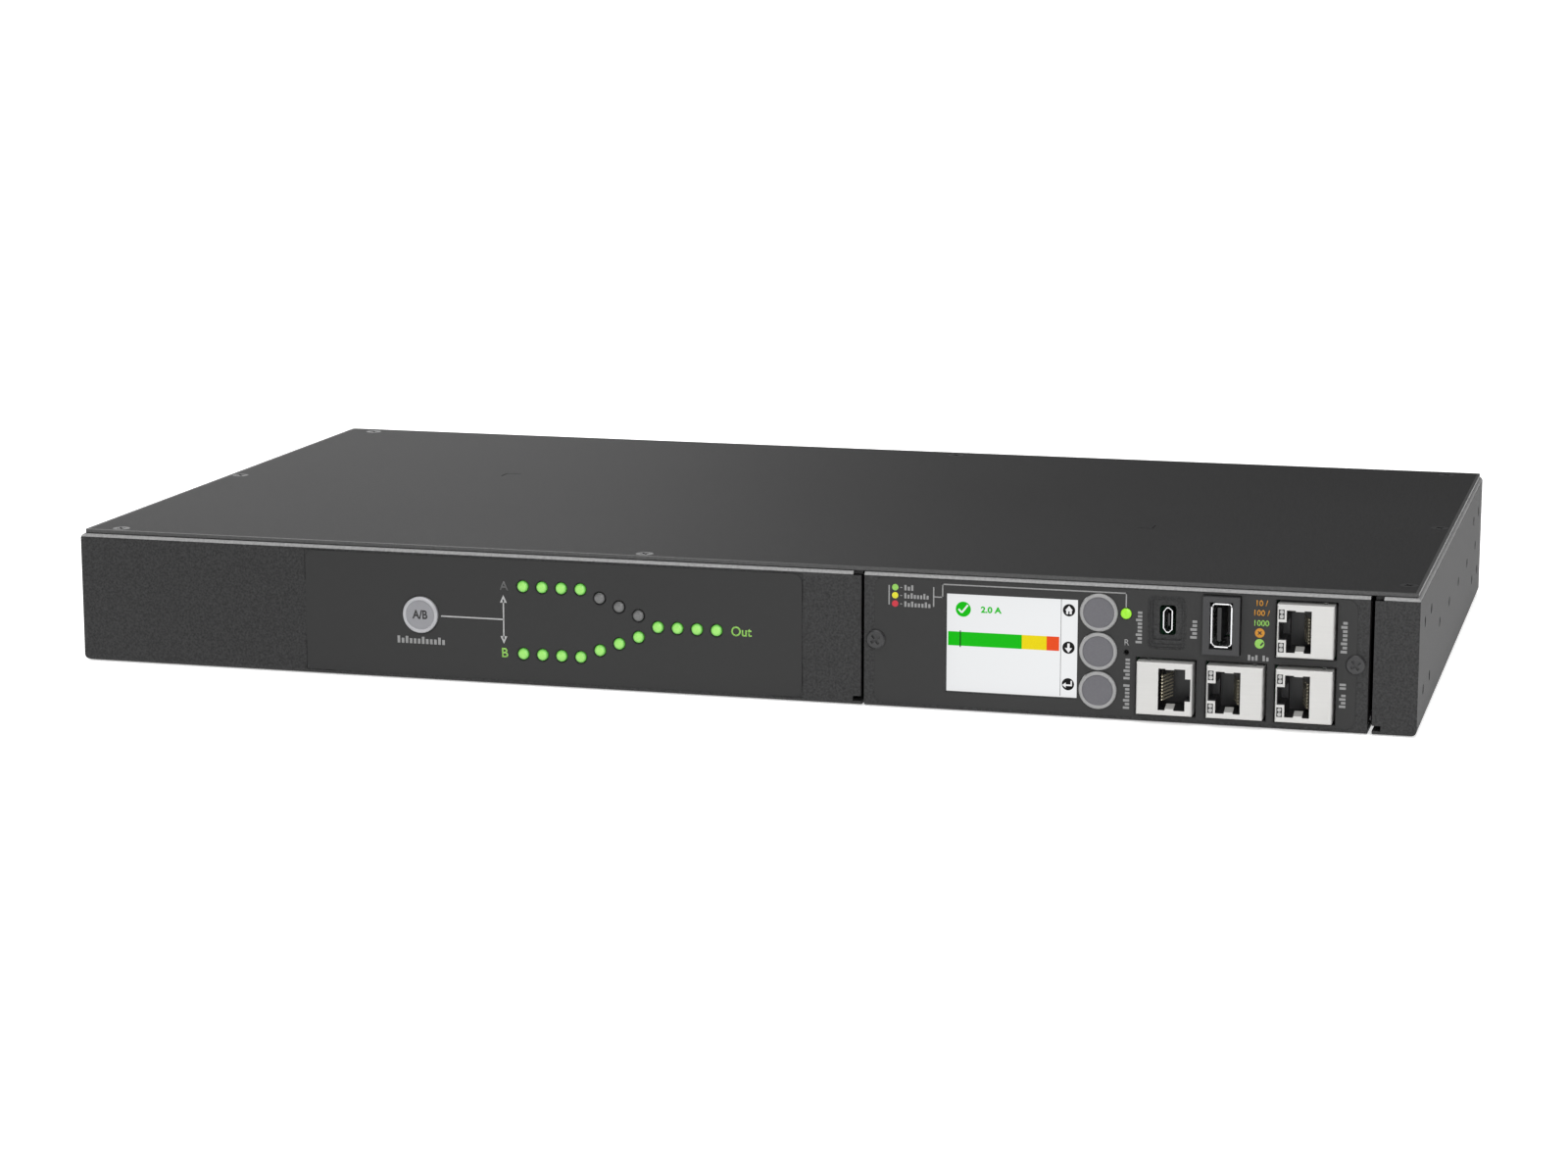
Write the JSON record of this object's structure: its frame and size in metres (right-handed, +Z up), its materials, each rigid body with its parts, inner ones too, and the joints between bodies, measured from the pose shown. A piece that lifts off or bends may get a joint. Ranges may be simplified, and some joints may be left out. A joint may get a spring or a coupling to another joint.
{
  "type": "rack automatic transfer switch",
  "caption": "One rack unit box that feeds its outlets from either of two supplies, with a lamp diagram, a display module with keys and ports in front, and inlets and outlets behind.",
  "frame": {"origin": "middle of the underside of the floor", "axes": "+X to the right seen from the front, +Y from the front to the back, +Z up"},
  "size_m": [0.432, 0.2434, 0.0432],
  "materials": {
    "black_powder_coat": "fine wrinkle black powder coat",
    "cover_powder_coat": "fine wrinkle black powder coat",
    "label_film": "smooth printed dark grey film",
    "black_screw": "black oxide steel",
    "lamp_lens": "domed translucent green lens",
    "status_lens": "bright green light guide",
    "preference_cap": "silver grey satin key cap",
    "key_cap": "dark grey key cap with a light grey ring",
    "screen_face": "lit white liquid crystal screen",
    "white_moulding": "white moulded frame",
    "black_moulding": "black moulded plastic",
    "bezel_moulding": "dark grey moulded plastic",
    "tinned_shield": "matt tinned sheet",
    "port_steel": "plated steel",
    "contact_gold": "gold plated spring wire",
    "jack_lens": "clear round lamp end",
    "circuit_board": "green circuit board",
    "chip_black": "black chip packages",
    "standoff_steel": "zinc plated steel",
    "relay_case": "black sealed relay case",
    "supply_potting": "black potted module",
    "capacitor_sleeve": "dark blue sleeve",
    "sensor_core": "blue coated ring core",
    "fuse_ceramic": "ceramic fuse body",
    "terminal_green": "green terminal block",
    "flat_cable": "grey flat cable",
    "blade_nickel": "nickel plated blades",
    "copper_bar": "bare copper bar",
    "wire_sleeve": "brown wire insulation",
    "earth_brass": "brass screw"
  },
  "bodies": {
    "enclosure": {"chassis": "black_powder_coat", "rear_panel": "black_powder_coat", "cover": "cover_powder_coat", "cover_screws": "black_screw", "source_label": "label_film", "source_a_lamps": "lamp_lens", "source_b_lamps": "lamp_lens", "output_lamps": "lamp_lens", "indicator_board": "circuit_board", "panel_studs": "standoff_steel", "display_panel": "black_powder_coat", "control_label": "label_film", "panel_screws": "black_screw", "module_brackets": "standoff_steel", "lcd_panel": "screen_face", "lcd_holder": "white_moulding", "status_lamp": "status_lens", "press_switches": "black_moulding", "display_board": "circuit_board", "port_board": "circuit_board", "network_jack_shield": "tinned_shield", "network_jack_housing": "black_moulding", "link_a_jack_shield": "tinned_shield", "link_a_jack_housing": "black_moulding", "link_b_jack_shield": "tinned_shield", "link_b_jack_housing": "black_moulding", "universal_jack_shield": "tinned_shield", "universal_jack_housing": "black_moulding", "jack_contacts": "contact_gold", "jack_lamps": "jack_lens", "host_port_bezel": "bezel_moulding", "host_port_shell": "port_steel", "host_port_tongue": "black_moulding", "console_port_shell": "port_steel", "console_port_tongue": "black_moulding", "management_board": "circuit_board", "management_chips": "chip_black", "power_board": "circuit_board", "board_standoffs": "standoff_steel", "transfer_relays": "relay_case", "power_supplies": "supply_potting", "filter_capacitors": "capacitor_sleeve", "current_sensors": "sensor_core", "fuses": "fuse_ceramic", "terminal_block": "terminal_green", "ribbon_cable": "flat_cable", "inlet_a": "black_moulding", "inlet_b": "black_moulding", "inlet_blades": "blade_nickel", "outlet_bank_left": "black_moulding", "outlet_bank_right": "black_moulding", "high_current_outlet": "black_moulding", "bus_bars": "copper_bar", "power_wires": "wire_sleeve", "earth_screw": "earth_brass"},
    "preference_key": {"preference_button": "preference_cap"},
    "home_key": {"home_button": "key_cap"},
    "scroll_key": {"scroll_button": "key_cap"},
    "enter_key": {"enter_button": "key_cap"},
    "reset_key": {"reset_plunger": "black_moulding"}
  },
  "joints": [
    {"name": "preference_press", "type": "slide", "parent": "enclosure", "child": "preference_key", "axis": [0, 1, 0], "range_m": [0, 0.0005], "stiffness_N_per_m": 1000},
    {"name": "home_press", "type": "slide", "parent": "enclosure", "child": "home_key", "axis": [0, 1, 0], "range_m": [0, 0.0005], "stiffness_N_per_m": 1000},
    {"name": "scroll_press", "type": "slide", "parent": "enclosure", "child": "scroll_key", "axis": [0, 1, 0], "range_m": [0, 0.0005], "stiffness_N_per_m": 1000},
    {"name": "enter_press", "type": "slide", "parent": "enclosure", "child": "enter_key", "axis": [0, 1, 0], "range_m": [0, 0.0005], "stiffness_N_per_m": 1000},
    {"name": "reset_press", "type": "slide", "parent": "enclosure", "child": "reset_key", "axis": [0, 1, 0], "range_m": [0, 0.0003], "stiffness_N_per_m": 1000}
  ]
}
